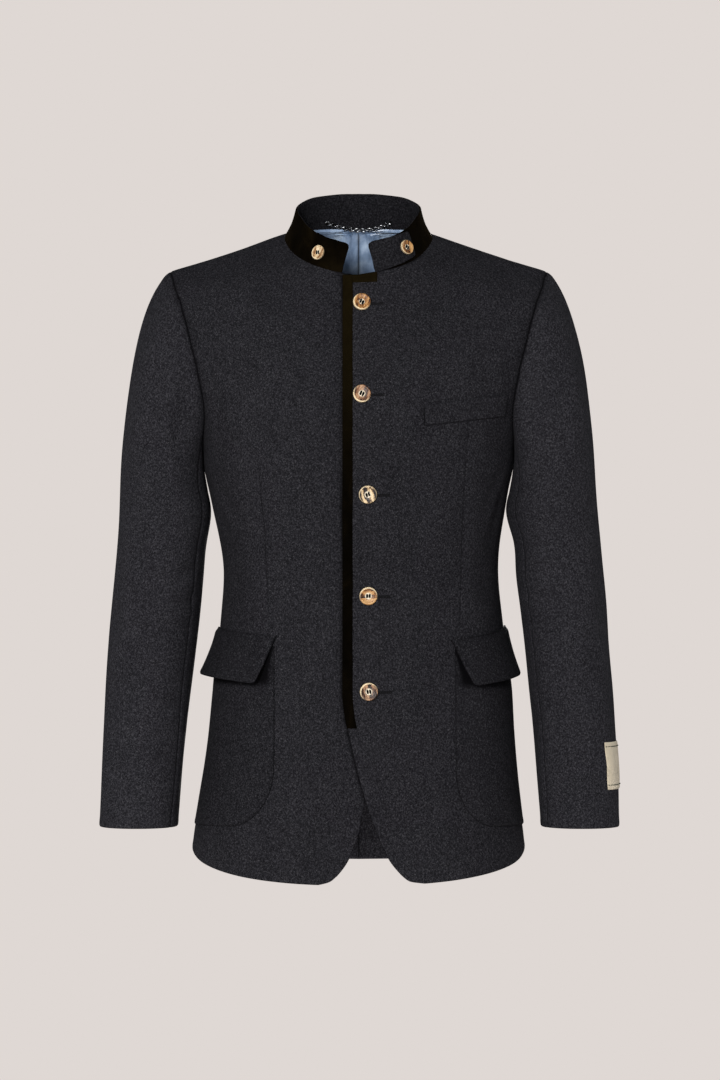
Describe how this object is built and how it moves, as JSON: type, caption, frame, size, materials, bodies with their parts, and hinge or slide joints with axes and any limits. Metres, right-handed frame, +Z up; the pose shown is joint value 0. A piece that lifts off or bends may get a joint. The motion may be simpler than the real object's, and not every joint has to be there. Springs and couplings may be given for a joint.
{
  "type": "tyrolean loden jacket",
  "caption": "Hip-length tyrolean wool jacket with a stand collar, velvet edge trim, horn buttons, flapped patch pockets and set-in sleeves, filled out with no wearer.",
  "frame": {"origin": "in the neck opening, level with the neck points of the shoulder seams, where the wearer's shoulders and neck carry the jacket", "axes": "+X to the wearer's left, -Y to the front, +Z up"},
  "size_m": [0.6031, 0.2701, 0.8006],
  "materials": {
    "loden": "felted charcoal melange wool, matt",
    "velvet": "very dark brown velvet",
    "horn": "polished streaked antler",
    "satin": "blue satin lining",
    "chain": "small dark steel chain",
    "label": "blank beige woven tape"
  },
  "bodies": {
    "root": {"front_left": "loden", "front_right": "loden", "back_left": "loden", "back_right": "loden", "sleeve_left_upper": "loden", "sleeve_left_under": "loden", "sleeve_right_upper": "loden", "sleeve_right_under": "loden", "collar_inner": "loden", "collar_tab": "loden", "chest_welt": "loden", "pocket_left": "loden", "pocket_right": "loden", "flap_left": "loden", "flap_right": "loden", "collar_outer": "velvet", "trim_front": "velvet", "trim_neck": "velvet", "button_front_1": "horn", "button_front_2": "horn", "button_front_3": "horn", "button_front_4": "horn", "button_front_5": "horn", "button_collar_left": "horn", "button_collar_right": "horn", "lining_left": "satin", "lining_right": "satin", "hanger_chain": "chain", "sleeve_label": "label"}
  },
  "joints": []
}
